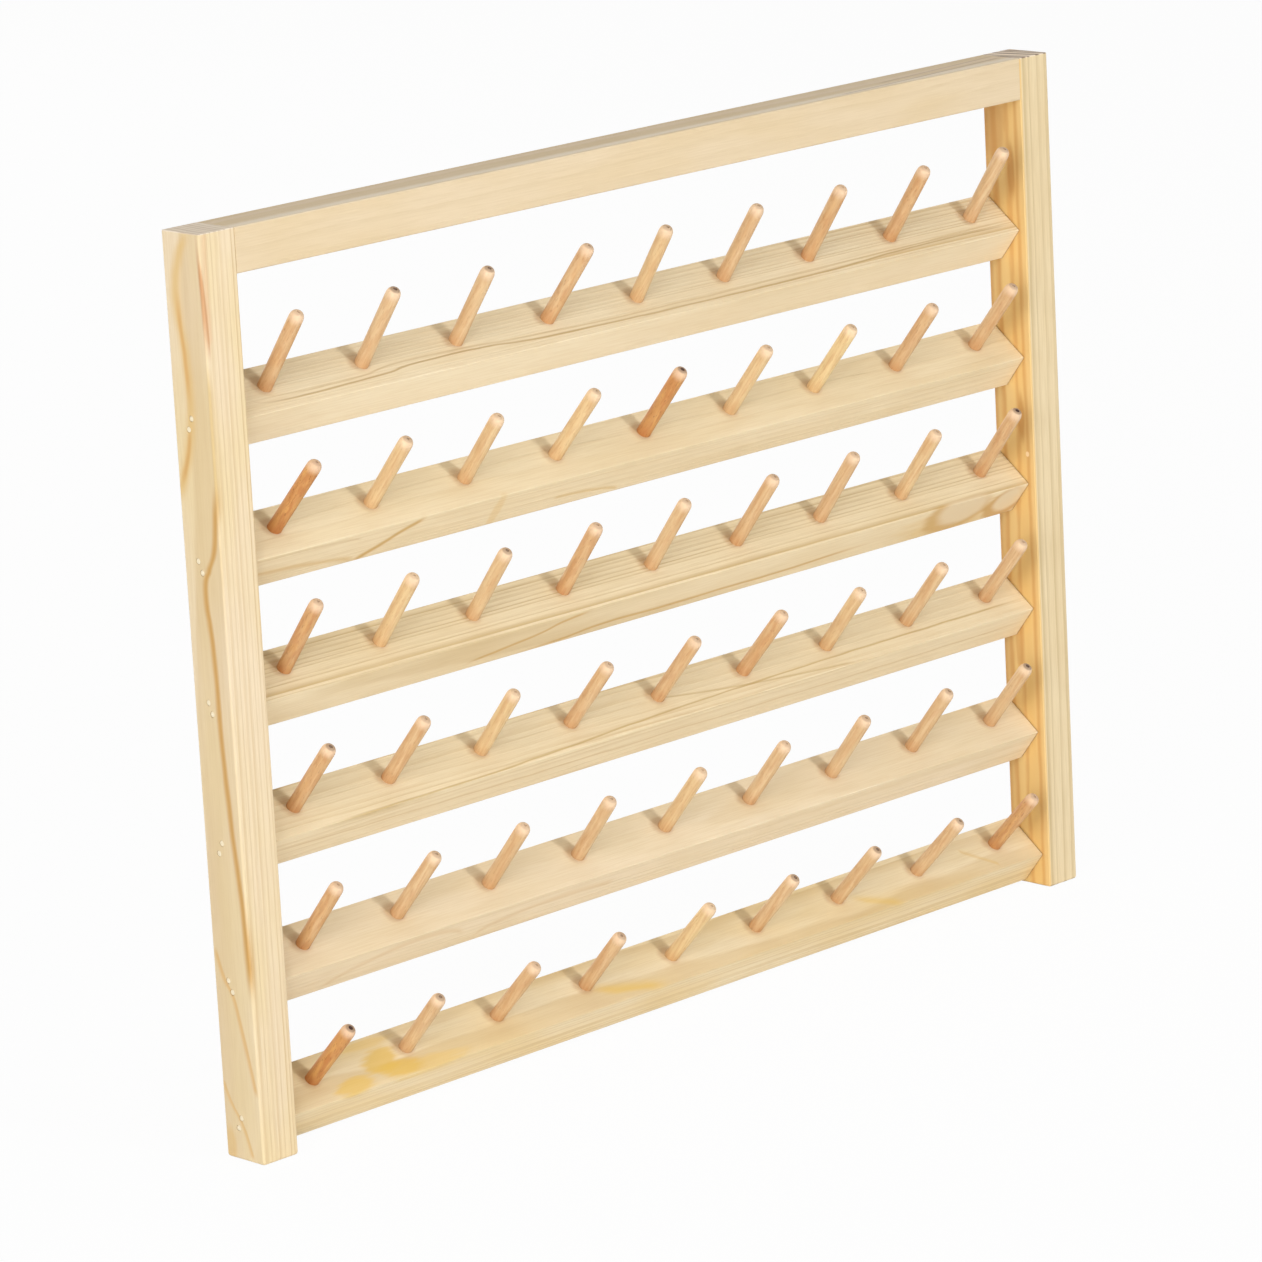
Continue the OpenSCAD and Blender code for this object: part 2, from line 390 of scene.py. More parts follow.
# The two posts: bars on end, planed edges a little rounded, the feet most of all.
posts = {
    "ease": 0.8, "innerEase": 0.45, "topEase": 0.4, "footEase": 1.1,
    "pocket": 1.05, "pocketDeep": 2, "nailHole": 0.7, "nailFrom": 1.4, "nailDeep": 15,
    "dowelHole": 2.55, "dowelDeep": 8.05, "dowelAt": (-13.25, -4.75), "holeSides": 16,
}
postWood = {
    "middle": (0, -9, -146), "turn": (0, -math.pi / 2, 0), "half": 153.5, "ring": 2.1, "sway": 1.4, "drift": 0.006,
    "pale": (238, 219, 188), "cream": (233, 212, 175), "late": (212, 183, 134), "lines": 0.85,
    "endGrainAndShade": (250, 236, 216), "endLateAndShade": (204, 180, 152), "endLines": 0.45,
}
# Places on the left post's outer face: height, and depth behind the middle of the face
outerMarks = marksOn("across", (4.5, 7.2), [
    {"path": [(66, 9), (74.5, 6), (83, 3.1), (95.8, 0.8), (110.4, 1.0), (127.4, 3.4), (134.3, 3.8), (144.5, 1.8),
              (151.4, -1.4), (154, -2.6)], "width": (4.2, 3.8), "colour": (226, 192, 130), "strength": 0.85,
     "wander": 1.4},
    {"path": [(70, 7.6), (76, 5.4), (84, 2.8), (92, 1.4)], "width": (1.6, 1.8), "colour": (214, 164, 96),
     "strength": 0.75, "wander": 1.0, "fade": 0.3},
    {"path": [(96, 0.8), (112, 1.2), (124, 2.8), (136, 3.6)], "width": (1.5, 1.6), "colour": (220, 170, 102),
     "strength": 0.75, "wander": 1.4, "fade": 0.3},
    {"path": [(60, -8.6), (84, -8.8), (112, -8.7)], "width": (0.7, 1.1), "colour": (208, 178, 120), "strength": 0.7,
     "wander": 0.2, "fade": 0.2},
    {"path": [(112, -9.0), (125, -8.8), (140, -8.4), (154, -7.6)], "width": (0.8, 1.2), "colour": (202, 142, 94),
     "strength": 0.8, "wander": 0.2, "fade": 0.4},
    {"path": [(-96, -8.6), (-70, -7.6), (-35, -4.5), (-10, -3), (15, -2.5), (27, -1.4), (36, -0.4), (44, -2.6),
              (55, -6.8), (72, -8.4)], "width": (1.8, 2.4), "colour": (206, 160, 92), "strength": 1.0,
     "wander": 0.8},
    {"path": [(-130, -8), (-107, -2.6), (-98, 0), (-92, 4), (-82, 7.4)], "width": (1.2, 2.2),
     "colour": (222, 180, 118), "strength": 0.8, "wander": 0.6},
    {"path": [(-152, -4.2), (-141, 0), (-134, 5), (-127, 8.2)], "width": (1.0, 2.0),
     "colour": (224, 184, 122), "strength": 0.75, "wander": 0.6},
    {"spot": (-150, 6.5), "reach": (9, 4), "colour": (226, 188, 120), "strength": 0.5},
])
# On its front: height, and how far left of the middle
frontMarks = marksOn("deep", (-7.5, -8.6), [
    {"path": [(118, 5.5), (135, 5.5), (154, 5)], "width": (1.6, 2.2), "colour": (228, 190, 150), "strength": 0.5},
    {"path": [(112, 6.0), (120, 6.2), (130, 6.6), (138, 7.1), (146, 7.6)], "width": (0.7, 0.8),
     "colour": (202, 146, 98), "strength": 0.75, "wander": 0.2, "fade": 0.25},
])
# On the right post's inner face, which is warmer all over: height, and depth behind the middle
innerMarks = marksOn("across", (6.2, 7.3), [
    {"path": [(-154, 0), (154, 0)], "width": (30, 30), "colour": (239, 199, 126), "strength": 0.95, "fade": 0},
    {"path": [(-154, 1.5), (154, 1.5)], "width": (4.5, 3.5), "colour": (242, 207, 140), "strength": 0.7, "fade": 0,
     "wander": 4},
    {"path": [(-154, 4.6), (-60, 5.2), (40, 4.2), (154, 5.0)], "width": (1.6, 2.6), "colour": (212, 150, 80),
     "strength": 0.6, "fade": 0, "wander": 2.4},
    {"path": [(-154, 8.6), (154, 8.4)], "width": (2.2, 2), "colour": (214, 158, 92), "strength": 0.7, "fade": 0},
    {"path": [(-154, -1.2), (-40, -0.2), (30, -2.2), (154, -0.6)], "width": (1.3, 2.0), "colour": (214, 154, 84),
     "strength": 0.5, "fade": 0, "wander": 2.4},
    {"path": [(-154, -6.0), (-30, -6.4), (60, -5.8), (154, -6.2)], "width": (1.6, 1.4), "colour": (212, 154, 80),
     "strength": 0.6, "fade": 0, "wander": 1.4},
    # This spot, high up towards the back, is painted shade under the top rail
    {"spot": (128, 4.5), "reach": (17, 7), "colour": (208, 152, 86), "strength": 0.55},
    {"spot": (112, -3.2), "reach": (14, 2.2), "colour": (206, 146, 76), "strength": 0.7},
    {"spot": (22, -3.6), "reach": (12, 2.2), "colour": (206, 146, 74), "strength": 0.7},
    {"spot": (-60, 1.5), "reach": (16, 2.2), "colour": (212, 152, 80), "strength": 0.5},
    {"spot": (9.2, -5.9), "reach": (1.2, 1.0), "colour": (250, 222, 178), "strength": 0.9, "wander": 0, "core": 0.6},
])


def makePost(name, side, node, wood):
    outer, inner = frameSize["half"], frameSize["inner"]
    centre = side * (outer + inner) / 2
    height = frameSize["top"] - frameSize["foot"]
    post = sawn(name, Vector((centre, -frameSize["depth"] / 2, frameSize["top"] - height / 2)),
                (outer - inner, frameSize["depth"], height))

    def edgeSize(first, second):
        if sameBut(2, first, second):
            return posts["ease"] if abs(first.x) > (outer + inner) / 2 else posts["innerEase"]
        return posts["topEase"] if first.z > 0 else posts["footEase"]

    eased(post, edgeSize)
    holes, inwards = [], (-side, 0, 0)
    for row in rows:
        for y, z in nailPlaces(row):
            holes += [((side * outer, y, z), inwards, posts["pocket"], posts["pocketDeep"]),
                      ((side * (outer - posts["nailFrom"]), y, z), inwards, posts["nailHole"], posts["nailDeep"])]
    for y in posts["dowelAt"]:
        holes.append(((side * inner, y, 0), (side, 0, 0), posts["dowelHole"], posts["dowelDeep"]))
    drilled(post, holes, posts["holeSides"])
    planed(post)
    wood = {**postWood, **wood, "middle": (centre, *postWood["middle"][1:])}
    finished(post, pineFinish(name + "Pine", wood), node)


makePost("leftPost", -1, "left_post", {
    "seed": 1.0, "pith": (-8, -95), "marks": outerMarks + frontMarks, "cream": (236, 216, 174)})
makePost("rightPost", 1, "right_post", {
    "seed": 2.3, "pith": (22, -88), "ring": 3.4, "marks": innerMarks, "late": (194, 168, 116), "lines": 1.0,
    "pale": (237, 218, 180), "cream": (232, 211, 170), "endGrainAndShade": (250, 234, 212), "endLateAndShade": (128, 98, 78),
    "endLines": 0.9})
print("posts made")

# The top rail: a bar between the posts, with blind hanging holes in its back.
topRail = {
    "ease": 0.6, "endEase": 0.15, "hangRadius": 4.25, "hangDeep": 9, "hangAt": (-150, 0, 150), "hangSides": 40,
    "dowelDeep": 14.05, "dowelSides": 20,
}
topWood = {
    "middle": (0, -9, 0), "turn": (0, 0, 0), "half": 400, "seed": 3.1, "pith": (70, -40), "ring": 2.4, "sway": 2.5,
    "drift": 0.01, "pale": (231, 211, 178), "cream": (227, 205, 167), "late": (206, 181, 138), "lines": 0.2,
    "endGrainAndShade": (214, 196, 170), "endLateAndShade": (142, 118, 98), "endLines": 0.6,
    "marks": marksOn("across", (6.9, 7.5), [
        {"path": [(-185, -7), (-60, -6.5), (60, -6.2), (185, -6.5)], "width": (3.5, 4.5), "colour": (252, 240, 220),
         "strength": 0.9, "fade": 0, "wander": 1.4},
        {"path": [(-185, 3.5), (-40, 4.5), (80, 2.5), (185, 0)], "width": (2.5, 3.5), "colour": (236, 216, 192),
         "strength": 0.6, "fade": 0, "wander": 2.4},
        {"path": [(95, -6.6), (140, -4.6), (184, -1.5)], "width": (0.7, 1.4), "colour": (172, 140, 114),
         "strength": 0.5},
        {"path": [(120, -1.5), (150, 0.5), (184, 3)], "width": (0.6, 1.2), "colour": (176, 146, 120),
         "strength": 0.45}]),
}
bar = sawn("topRail", Vector((0, -frameSize["depth"] / 2, 0)),
           (2 * frameSize["inner"], frameSize["depth"], 2 * frameSize["top"]))
eased(bar, lambda first, second: topRail["ease" if sameBut(0, first, second) else "endEase"])
drilled(bar, [((x, 0, 0), (0, -1, 0), topRail["hangRadius"], topRail["hangDeep"]) for x in topRail["hangAt"]],
        topRail["hangSides"])
drilled(bar, [((side * frameSize["inner"], y, 0), (-side, 0, 0), posts["dowelHole"], topRail["dowelDeep"])
              for side in (-1, 1) for y in posts["dowelAt"]], topRail["dowelSides"])
planed(bar)
finished(bar, pineFinish("topRailPine", topWood), "top_rail")
print("top rail made")

# How the pegs stand: each row forward and to the right, in degrees, and longer in mm, with single pegs more askew
pegRow = {"count": 9, "firstX": -167.6, "step": 41.9, "setback": 9, "reach": 31, "askew": (0.4, 0.8), "seeds": 20}
stands = [(-3.2, 0, 1.3), (0.7, 2.2, -0.4), (-1.0, 0, 0.5), (1.3, 2.2, -0.9), (1.0, 0.9, -0.6), (4.0, 3.4, -2.2)]
aside = {(1, 4): 6, (1, 5): -3, (2, 1): 4, (2, 3): -3, (2, 4): 3, (3, 6): 2.5, (4, 3): -2.5, (4, 6): 3, (4, 7): -2.5,
         (5, 2): 3, (5, 4): -3, (5, 7): -2.5, (6, 2): -4, (6, 4): -3, (6, 8): 4}


def pegStand(row, index):
    place = frontEdge(row) + upSlope * (railSize["width"] - pegRow["setback"])
    forward, right, longer = stands[row - 1]
    turn = random.Random(row * pegRow["seeds"] + index)
    forward += turn.uniform(-1, 1) * pegRow["askew"][0]
    right += aside.get((row, index + 1), turn.uniform(-1, 1) * pegRow["askew"][1])
    lie = Quaternion((1, 0, 0), railSize["tilt"] + math.radians(forward)) @ Quaternion((0, 1, 0), math.radians(right))
    return Vector((pegRow["firstX"] + index * pegRow["step"], place.y, place.z)), lie, 1 + longer / pegRow["reach"]


# The peg rails: leaned bars planed off flush with the wall, each from its own board.
pegRails = {
    "front": 0.3, "back": 0.45, "low": 0.8, "lowBack": 0.45, "end": 0.4, "short": 0.06,
    "mouth": (2.55, 0.6), "hole": (2.35, 6.1), "holeFrom": 0.4, "nailHole": 0.7, "nailDeep": 12.5, "nailSides": 12,
    "upperGate": (-3, -0.4), "lowerGate": (2.2, 0.4),
}
# The rails' end colours are dark brown: painted shade on the last half mm of each end, where the rail meets the post
railWood = {
    "turn": (railSize["tilt"], 0, 0), "half": 184.95, "ring": 2.1, "sway": 1.2, "drift": 0.004, "lines": 0.7,
    "pale": (245, 228, 193), "cream": (239, 220, 182), "late": (212, 181, 126),
    "endGrainAndShade": (160, 118, 72), "endLateAndShade": (118, 82, 48), "endLines": 0.6,
}
amber = (232, 193, 92)
# Marks on a rail's upper face are placed along it and up from its front edge, those on the lower face down from it.
upperMarks = {
    1: [{"path": [(-175, 5.3), (-157, 3.4), (-138, 3.7), (-118, 4.3), (-98, 5.7), (-82, 5.6), (-60, 4.0), (-25, 2.9),
                  (32, 2.3), (85, 2.4), (141, 3.8), (184, 3.2)],
         "width": (0.5, 0.8), "colour": (188, 154, 96), "strength": 0.75, "wander": 0.8},
        {"path": [(-170, 7.4), (-150, 5.2), (-128, 5.6), (-104, 7.4), (-86, 7.0), (-50, 5.2), (0, 4.2), (184, 5.4)],
         "width": (0.5, 0.8), "colour": (202, 170, 114), "strength": 0.5, "wander": 0.8}],
    4: [{"path": [(-160, 0.1), (-102, 0.3), (-62, 1.2), (-9, 3.2), (60, 4.8), (184, 5.4)], "width": (0.4, 0.9),
         "colour": (202, 172, 114), "strength": 0.8, "wander": 0.8},
        {"path": [(0, 9.6), (42, 4.4), (90, 0.6)], "width": (0.4, 1.0), "colour": (200, 170, 112), "strength": 0.6}],
    6: [{"spot": (-138.5, 9), "reach": (9, 6.8), "colour": amber, "strength": 0.75, "wander": 1.1},
        {"spot": (-133, 3.4), "reach": (11, 4.6), "colour": amber, "strength": 0.75, "wander": 1.1},
        {"spot": (-154, 2.6), "reach": (12, 4), "colour": amber, "strength": 0.7, "wander": 1.1},
        {"spot": (-122, 1.8), "reach": (20, 4.4), "colour": (236, 200, 112), "strength": 0.5, "wander": 1.2},
        {"spot": (-141, 16.6), "reach": (17, 2.6), "colour": (236, 200, 112), "strength": 0.5},
        {"path": [(-44, 9.4), (-36, 6.2), (-26, 3.8), (-8, 0.6)], "width": (2.8, 4.2), "colour": amber,
         "strength": 0.65, "wander": 1.8, "fade": 0.3},
        {"path": [(88, 9), (101, 3.4), (112, -0.4)], "width": (2.4, 3.4), "colour": amber, "strength": 0.45,
         "wander": 1.2, "fade": 0.3},
        {"path": [(150, 12.4), (158, 6), (163, 2)], "width": (1.5, 2.2), "colour": (228, 194, 122), "strength": 0.5}],
}
lowerMarks = {
    2: [{"path": [(-136, -14.4), (-124, -8.7), (-117, -4.6), (-108, -0.8)], "width": (2.0, 2.2),
         "colour": (206, 164, 90), "strength": 0.85, "wander": 0.8, "fade": 0.15},
        {"path": [(-184, -7.4), (-154, -9.6), (-135, -13)], "width": (1.6, 2.0), "colour": (222, 190, 134),
         "strength": 0.7, "wander": 1.4},
        {"path": [(-184, -1.2), (-150, -1.8), (-136, -3.4)], "width": (0.8, 1.2), "colour": (206, 176, 124),
         "strength": 0.4},
        {"spot": (-73.5, -7.6), "reach": (2.8, 11), "colour": (226, 190, 120), "strength": 0.4, "wander": 0.2},
        {"path": [(-46, -9.2), (-30, -10), (-14, -13)], "width": (0.8, 1.6), "colour": (220, 186, 120),
         "strength": 0.6}],
    3: [{"path": [(-90, -11.2), (-73, -8.6), (-58, -6.0), (-48, -2.8), (-35, -1.0)], "width": (1.0, 1.4),
         "colour": (208, 166, 94), "strength": 0.75, "fade": 0.15, "wander": 0.8},
        {"path": [(-70, -13.4), (-45, -12.9), (-22, -10.6), (8, -10.9), (32, -10.5), (62, -10.3), (88, -9.2),
                  (108, -8.4)],
         "width": (0.9, 1.3), "colour": (204, 162, 90), "strength": 0.75, "fade": 0.15, "wander": 0.8},
        {"spot": (150, -9), "reach": (36, 9), "colour": (226, 194, 130), "strength": 0.55, "wander": 0.8},
        {"spot": (149.5, -5.4), "reach": (20, 11), "colour": (209, 168, 104), "strength": 0.75, "core": 0.7,
         "wander": 0.25},
        {"spot": (152, -4), "reach": (16, 9), "colour": (238, 221, 188), "strength": 0.75, "core": 0.6,
         "wander": 0.25},
        {"spot": (176, -8.4), "reach": (12, 9), "colour": (207, 164, 102), "strength": 0.8, "core": 0.7,
         "wander": 0.25},
        {"spot": (177.5, -6.4), "reach": (9, 6.8), "colour": (239, 223, 190), "strength": 0.8, "core": 0.6,
         "wander": 0.2}],
    4: [{"path": [(-184, -6), (0, -7.4), (184, -6.4)], "width": (0.5, 1.0), "colour": (214, 184, 132),
         "strength": 0.6, "wander": 1.6}],
    5: [{"path": path, "width": (1.6, 2.6), "colour": (226, 197, 152), "strength": 0.5, "wander": 1.4}
        for path in ([(-162, -12.6), (-144, -6.2), (-121, -2.8), (-100, -8)],
                     [(-94, -12.5), (-75, -6.4), (-55, -5.4), (-30, -6.3)])],
}
# What each rail's own board has that differs, from the top rail down
boards = [
    {"seed": 11.0, "pith": (90, -7), "ring": 1.5, "lines": 0.9, "swell": (-10, 120, 0.2), "pale": (248, 232, 199),
     "cream": (243, 225, 190)},
    {"seed": 12.0, "pith": (-14, -80), "lines": 0.3, "sway": 3.0},
    {"seed": 13.0, "pith": (112.1, -5), "ring": 1.9, "lines": 0.9, "sway": 0.6, "late": (204, 174, 118)},
    {"seed": 14.0, "pith": (60, -62), "ring": 2.0, "lines": 0.6, "sway": 2.4, "drift": 0.03, "swell": (150, -60, 0.4),
     "cream": (241, 223, 187)},
    {"seed": 15.0, "pith": (10, 90), "ring": 3.0, "lines": 0.25, "sway": 3.0, "drift": 0.02, "pale": (246, 229, 199),
     "cream": (241, 223, 189)},
    {"seed": 16.0, "pith": (-6, -76), "ring": 2.2, "lines": 0.8, "sway": 2.6, "cream": (240, 217, 170)},
]


def makeRail(row):
    front, halfLong = frontEdge(row), frameSize["inner"] - pegRails["short"]
    middle = front + upSlope * railSize["width"] / 2 - outSlope * railSize["thick"] / 2
    rail = sawn("pegRail%d" % row, middle, (2 * halfLong, railSize["width"], railSize["thick"]), railSize["tilt"])
    editing(rail, lambda c: True, "FACE")
    bpy.ops.mesh.bisect(plane_co=(0, 0, 0), plane_no=(0, 1, 0), clear_outer=True, use_fill=True)
    bpy.ops.object.mode_set(mode="OBJECT")
    low = front - outSlope * railSize["thick"]
    corners = {"front": front, "back": front + upSlope * railSize["width"], "low": low,
               "lowBack": low - upSlope * (low.y / upSlope.y)}

    def edgeSize(first, second):
        near = min(corners, key=lambda name: (corners[name].yz - first.yz).length)
        return pegRails[near if sameBut(0, first, second) else "end"]

    eased(rail, edgeSize)
    holes = []
    for index in range(pegRow["count"]):
        foot, lie, stretch = pegStand(row, index)
        inwards = lie @ Vector((0, 0, -1))
        holes += [(foot, inwards, *pegRails["mouth"]),
                  (foot + inwards * pegRails["holeFrom"], inwards, *pegRails["hole"])]
    drilled(rail, holes)
    drilled(rail, [((side * frameSize["inner"], y, z), (-side, 0, 0), pegRails["nailHole"], pegRails["nailDeep"])
                   for side in (-1, 1) for y, z in nailPlaces(row)], pegRails["nailSides"])
    planed(rail)
    marks = marksOn("across", pegRails["upperGate"], upperMarks.get(row, []))
    marks += marksOn("deep", pegRails["lowerGate"], lowerMarks.get(row, []))
    # Where the painted peg shadows sit: the first peg, the step between pegs, and how far up the face the feet stand
    pegShadow = (pegRow["firstX"], pegRow["step"], railSize["width"] - pegRow["setback"])
    wood = {**railWood, "middle": tuple(front), "marks": marks, "pegShadow": pegShadow, **boards[row - 1]}
    finished(rail, pineFinish("railPine%d" % row, wood), "peg_rail_%d" % row)


for row in rows:
    makeRail(row)
print("peg rails made")

# The pegs: one is turned, and copied. Each copy has its own lean, tone and pit in its tip.
peg = {
    "sides": 28, "smooth": 50, "tipFrom": 29, "pitAt": 30.42, "pitRadius": 0.8, "darkRadius": 0.65,
    "tone": (-0.45, 0.35), "pit": (0.0, 0.3), "spread": (0.7, 0.6), "darkness": (0.25, 0.75), "dusk": 1.4,
    "outline": [(1.8, -6), (2.3, -5.4), (2.3, -0.45), (2.5, -0.45), (2.5, 6), (2.5, 14), (2.5, 22), (2.5, 28.2),
                (2.46, 28.9), (2.33, 29.5), (2.1, 30.05), (1.77, 30.48), (1.38, 30.78), (0.98, 30.95), (0.7, 30.96),
                (0.56, 30.74), (0.3, 30.48), (0.1, 30.42)],
}
# Pegs that stand out in the photograph: row, number from the left, and tone from -1, pale, to 1, dark and red
tones = {(2, 1): 0.9, (2, 5): 0.8, (3, 1): 0.5, (6, 1): 0.9, (2, 7): -1.0, (6, 5): -0.6, (3, 2): -0.5, (4, 3): -0.5,
         (2, 4): -0.5, (4, 1): 0.4, (5, 1): 0.4, (6, 9): 0.55}
# How deep and dark the turning pit is, from 0 to 1
pits = {(6, 1): 1.0, (3, 9): 1.0, (5, 9): 0.8, (2, 5): 0.9, (1, 2): 0.7, (1, 3): 0.6, (4, 1): 0.6, (3, 3): 0.5,
        (6, 2): 0.5, (6, 6): 0.6, (6, 7): 0.6, (6, 8): 0.4}


def marked(piece, name, value):
    layer = piece.data.attributes.new(name, "FLOAT", "POINT")
    for vertex in piece.data.vertices:
        layer.data[vertex.index].value = value(vertex.co / mm)


# The tip colour is a painted highlight on the peg's rounded end
pegLook = {
    "light": (230, 200, 156), "middling": (219, 182, 135), "pale": (240, 214, 160), "dark": (205, 143, 76),
    "mottle": (186, 116, 62), "amber": (232, 182, 108), "fibre": (196, 138, 88), "fleck": (150, 92, 52),
    "foot": (186, 116, 62), "tip": (248, 220, 190), "rim": (156, 130, 108), "pit": (60, 34, 24),
    "footShadeFades": (7, 0), "tipHighlightGrows": (26.5, 30), "rimGrows": (30.3, 30.8),
    "fibreSize": (0.7, 0.7, 16), "bandSize": (2.2, 2.2, 30), "fleckSize": (0.35, 0.35, 2.2),
    "mottleSize": (1.5, 1.5, 7), "amberSize": (1.4, 1.4, 8),
}


def pegFinish():
    material, wire = blankFinish("pegWood")
    local = wire.node("ShaderNodeMapping", {"vector_type": "TEXTURE"}, {
        "Vector": wire.node("ShaderNodeTexCoord", out="Object"), "Rotation": (railSize["tilt"], 0, 0)})
    up, tone, pit, dusky = [wire.node("ShaderNodeAttribute", {"attribute_name": name}, out="Fac")
                            for name in ("pegUp", "pegTone", "pegPit", "pegDusk")]
    fibre, bands = local.noise(pegLook["fibreSize"], 3.0), local.noise(pegLook["bandSize"])
    flecks = local.noise(pegLook["fleckSize"], 1.0).rise(0.62, 0.72)
    mottle = local.noise(pegLook["mottleSize"]).rise(0.45, 0.62)
    streaks = local.noise(pegLook["amberSize"]).rise(0.48, 0.66)
    dark, pale = tone.rise(0.0, 1.0), (0 - tone).rise(0.0, 1.0)
    colour = bands.rise(0.3, 0.7).between(pegLook["light"], pegLook["middling"])
    layers = [
        ("pale", pale), ("dark", dark * 0.9), ("mottle", mottle * (0.16 + dark * 0.45)),
        ("amber", streaks * dark * 0.5),
        ("fibre", fibre.rise(0.35, 0.8) * 0.4), ("fleck", flecks * (0.2 + dark * 0.45)),
        # Painted shade: the peg's foot darker towards the rail it stands in
        ("foot", up.rise(*pegLook["footShadeFades"]) * (0.3 + dark * 0.4)), ("tip", up.rise(*pegLook["tipHighlightGrows"]) * 0.6),
        ("rim", up.rise(*pegLook["rimGrows"]) * (0.25 + dusky * 0.6)), ("pit", pit)]
    for tint, mask in layers:
        colour = mask.between(colour, pegLook[tint])
    surface(wire, {"Base Color": colour, "Roughness": 0.52 + fibre * 0.16,
                   "Normal": relief(wire, fibre * 0.6 + bands * 0.3, 0.12), "Specular IOR Level": 0.4})
    return material


def inPit(place, radius):
    return place.z > peg["tipFrom"] and Vector(place.xy).length < radius


pegWood = pegFinish()
turned = turnedUp("turnedPeg", peg["outline"], peg["sides"])
marked(turned, "pegUp", lambda v: v.z)
(narrow, widens), (faint, darkens) = peg["spread"], peg["darkness"]
for row in rows:
    copies = []
    for index in range(pegRow["count"]):
        copy = copied(turned)
        tone = tones.get((row, index + 1), draws.uniform(*peg["tone"]))
        pit = pits.get((row, index + 1), draws.uniform(*peg["pit"]))
        spread = narrow + pit * widens
        editing(copy, lambda c: inPit(c[0], peg["pitRadius"]), "VERT")
        bpy.ops.transform.resize(value=(spread, spread, 1), center_override=(0, 0, peg["pitAt"] * mm))
        bpy.ops.object.mode_set(mode="OBJECT")
        marked(copy, "pegTone", lambda v: tone)
        marked(copy, "pegDusk", lambda v: min(pit * peg["dusk"], 1))
        marked(copy, "pegPit", lambda v: (faint + darkens * pit) * inPit(v, peg["darkRadius"] * spread))
        foot, lie, stretch = pegStand(row, index)
        copy.rotation_mode = "QUATERNION"
        copy.rotation_quaternion = lie @ Quaternion((0, 0, 1), draws.uniform(0, math.tau))
        copy.location, copy.scale = foot * mm, (1, 1, stretch)
        settled(copy)
        copies.append(copy)
    pegs = joined(copies, "spoolPegs%d" % row)
    smoothed(pegs, peg["smooth"])
    finished(pegs, pegWood, "pegs_row_%d" % row)
bpy.data.objects.remove(turned)
print("pegs made")

# The filler over the nail heads: a small disc pressed in and wiped flush, with a soft rim.
filler = {"sides": 14, "outline": [(0.98, 0), (1.0, 1.0), (0.92, 1.12), (0.6, 1.17), (0.15, 1.19)], "deep": 1.2,
          "uneven": 0.06, "smooth": 50}


def fillerFinish():
    material, wire = blankFinish("nailFiller")
    grit = wire.node("ShaderNodeTexCoord", out="Object").noise((0.3, 0.3, 0.3), 3.0)
    colour = grit.between((252, 242, 218), (240, 222, 182))
    surface(wire, {"Base Color": colour, "Roughness": 0.45 + grit * 0.25, "Normal": relief(wire, grit, 0.06)})
    return material


fillerPaste = fillerFinish()
dot = turnedUp("fillerDot", filler["outline"], filler["sides"])
for side, name, node in ((-1, "fillerLeft", "nail_fillers_left"), (1, "fillerRight", "nail_fillers_right")):
    dots = []
    for row in rows:
        for y, z in nailPlaces(row):
            copy = copied(dot)
            copy.scale = (1 - draws.uniform(0, filler["uneven"]), 1, 1)
            copy.rotation_euler = (0, side * math.pi / 2, 0)
            copy.location = Vector((side * (frameSize["half"] - filler["deep"]), y, z)) * mm
            settled(copy)
            dots.append(copy)
    dots = joined(dots, name)
    smoothed(dots, filler["smooth"])
    finished(dots, fillerPaste, node)
bpy.data.objects.remove(dot)
print("filler made")


# The nails and dowels keep their CAD shapes, hidden in the joints.
def steelFinish():
    material, wire = blankFinish("wireNail")
    drawn = wire.node("ShaderNodeTexCoord", out="Object").noise((6, 0.12, 0.12), 3.0)
    colour = drawn.between((188, 190, 194), (128, 130, 134))
    surface(wire, {"Base Color": colour, "Metallic": 1.0, "Roughness": 0.28 + drawn * 0.25,
                   "Normal": relief(wire, drawn, 0.02)})
    return material


def dowelFinish():
    material, wire = blankFinish("beechDowel")
    coords = wire.node("ShaderNodeTexCoord", out="Object")
    fibre, flecks = coords.noise((12, 0.5, 0.5), 3.0), coords.noise((1.6, 0.25, 0.25), 1.0).rise(0.6, 0.7)
    colour = (fibre * 0.7).between((226, 190, 146), (192, 146, 100))
    colour = (flecks * 0.5).between(colour, (158, 108, 70))
    surface(wire, {"Base Color": colour, "Roughness": 0.6 + fibre * 0.15, "Normal": relief(wire, fibre, 0.1)})
    return material


wireNail, beechDowel = steelFinish(), dowelFinish()
for name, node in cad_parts.items():
    if name.startswith(("rail_nails", "top_rail_dowels")):
        node.data.materials.clear()
        node.data.materials.append(wireNail if name.startswith("rail_nails") else beechDowel)

# The camera stands to the left of the rack's front, a little above it, as in the photograph.
camera = {"place": (-1409.1, -1453, 338.7), "target": (-21.6, -18, -158.2), "roll": -3.108, "lens": 173.33,
          "sensor": 36, "clip": (0.05, 40)}
eye = bpy.data.objects.new("camera", bpy.data.cameras.new("camera"))
bpy.context.scene.collection.objects.link(eye)
eye.data.lens, eye.data.sensor_width = camera["lens"], camera["sensor"]
eye.data.clip_start, eye.data.clip_end = camera["clip"]
look = Vector(camera["target"]) - Vector(camera["place"])
eye.rotation_mode = "QUATERNION"
eye.rotation_quaternion = look.to_track_quat("-Z", "Y") @ Quaternion((0, 0, 1), math.radians(camera["roll"]))
eye.location = Vector(camera["place"]) * mm
bpy.context.scene.camera = eye

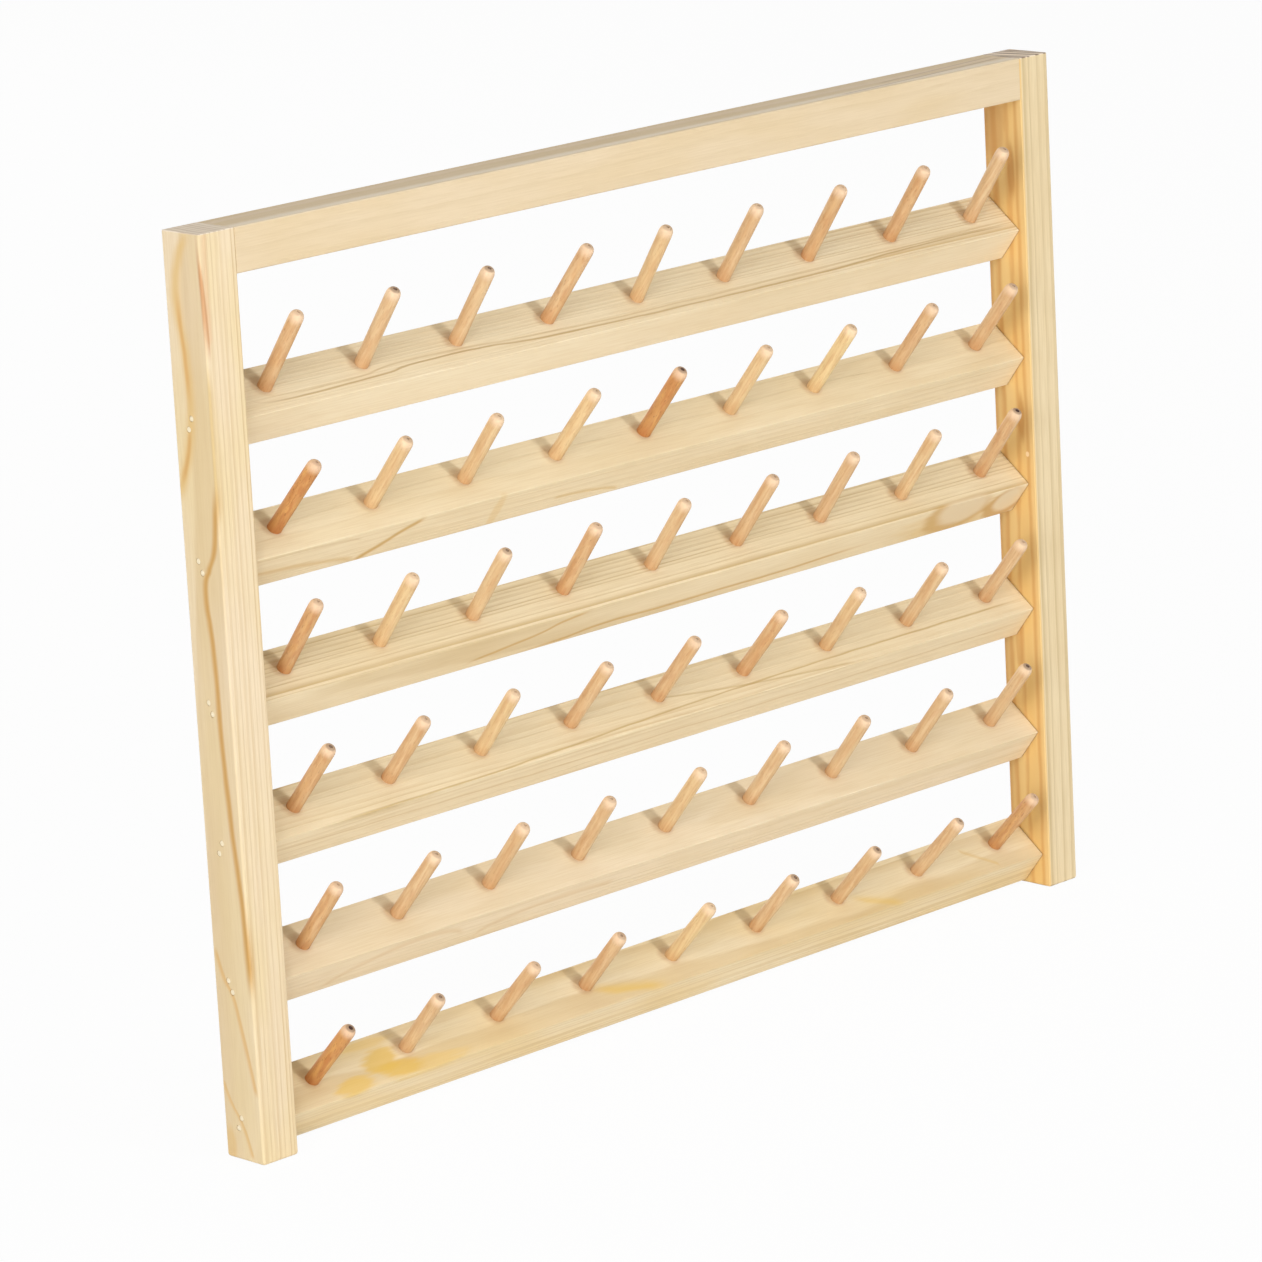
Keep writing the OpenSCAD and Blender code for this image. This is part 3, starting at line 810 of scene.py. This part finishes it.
# Studio light: a small key in front and a little to the right, a broad fill on the left, weak ones above and behind
lamps = {
    "key": {"turn": 9, "rise": 10, "away": 2.6, "size": 0.45, "power": 24, "colour": (0.985, 0.99, 1.0)},
    "fill": {"turn": -65, "rise": 12, "away": 2.6, "size": 1.6, "power": 43, "colour": (1.0, 0.99, 0.98)},
    "back": {"turn": 172, "rise": 12, "away": 2.6, "size": 1.4, "power": 14, "colour": (1.0, 0.99, 0.97)},
    "top": {"turn": 20, "rise": 76, "away": 2.8, "size": 2.0, "power": 13.8, "colour": (0.97, 0.985, 1.0)},
}
aim = Vector((0, -10, -146)) * mm
for name, lamp in lamps.items():
    light = bpy.data.objects.new(name, bpy.data.lights.new(name, "AREA"))
    bpy.context.scene.collection.objects.link(light)
    turn, up = math.radians(lamp["turn"]), math.radians(lamp["rise"])
    way = Vector((math.sin(turn) * math.cos(up), -math.cos(turn) * math.cos(up), math.sin(up)))
    light.location = aim + way * lamp["away"]
    light.rotation_euler = (-way).to_track_quat("-Z", "Y").to_euler()
    light.data.size, light.data.energy, light.data.color = lamp["size"], lamp["power"], lamp["colour"]

# The floor and the world show white to the camera and to reflections. The floor keeps part of its shadow.
studio = {
    "ambient": 0.28, "ambientColour": (1.0, 0.92, 0.8, 1), "white": (1, 1, 1, 1), "ownWhite": 0.96,
    "floorSpan": 14, "floorGap": 0.05, "floorColour": (0.9, 0.93, 0.97, 1),
}


def seenDirectly(wire):
    rays = wire.node("ShaderNodeLightPath", out=("Is Camera Ray", "Is Glossy Ray", "Is Transmission Ray"))
    return (rays[0] + rays[1] + rays[2]).rise(0, 1)


def mixedInto(wire, output, share, first, second):
    mixed = wire.node("ShaderNodeMixShader", {}, {0: share, 1: first, 2: second})
    wire.node(output, {}, {"Surface": mixed}, None)


world = bpy.data.worlds.new("studio")
bpy.context.scene.world = world
world.use_nodes = True
world.node_tree.nodes.clear()
wire = Wire(world.node_tree)
ambient = wire.node("ShaderNodeBackground", {}, {"Color": studio["ambientColour"], "Strength": studio["ambient"]})
white = wire.node("ShaderNodeBackground", {}, {"Color": studio["white"], "Strength": 1.0})
mixedInto(wire, "ShaderNodeOutputWorld", seenDirectly(wire), ambient, white)

floor = started("floor", bpy.ops.mesh.primitive_plane_add, size=studio["floorSpan"],
                location=(0, 0, (frameSize["foot"] - studio["floorGap"]) * mm))
settled(floor)
material, wire = blankFinish("paleFloor")
matt = wire.node("ShaderNodeBsdfDiffuse", {}, {"Color": studio["floorColour"]})
own = wire.node("ShaderNodeEmission", {}, {"Color": studio["white"], "Strength": 1.0})
mixedInto(wire, "ShaderNodeOutputMaterial", seenDirectly(wire) * studio["ownWhite"], matt, own)
floor.data.materials.append(material)

bpy.context.scene.view_settings.view_transform = "Standard"
print("camera, light and floor set")
